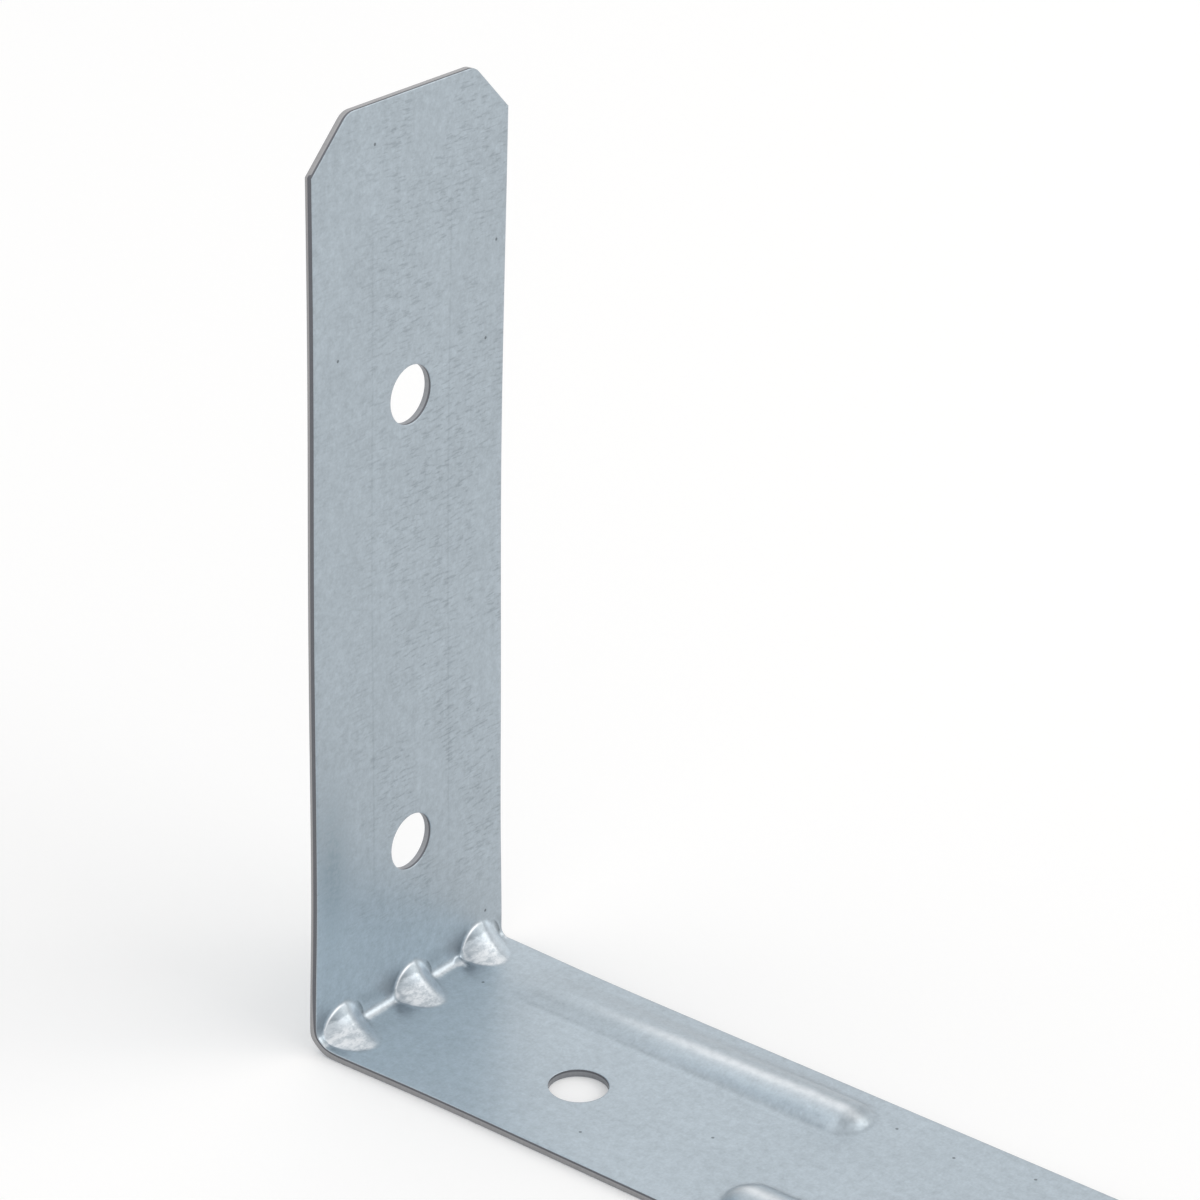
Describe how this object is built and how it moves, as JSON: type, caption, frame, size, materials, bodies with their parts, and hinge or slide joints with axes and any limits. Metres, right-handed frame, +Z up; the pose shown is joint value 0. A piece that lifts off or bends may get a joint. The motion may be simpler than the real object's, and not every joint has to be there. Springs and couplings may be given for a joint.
{
  "type": "strap tie",
  "caption": "Bent galvanised steel strap that ties framing to a wall: nail holes in both legs, staggered pressed ribs, and gussets across its right-angle fold.",
  "frame": {"origin": "outer corner of the fold, in the middle of the strap's width, on the ground that the long leg lies on", "axes": "+X along the long leg, +Y across the strap, +Z up the short leg"},
  "size_m": [0.5, 0.029, 0.1],
  "materials": {
    "galvanised_steel": "satin zinc coating, finely mottled, with bare sheared edges"
  },
  "bodies": {
    "root": {"strap": "galvanised_steel"}
  },
  "joints": []
}
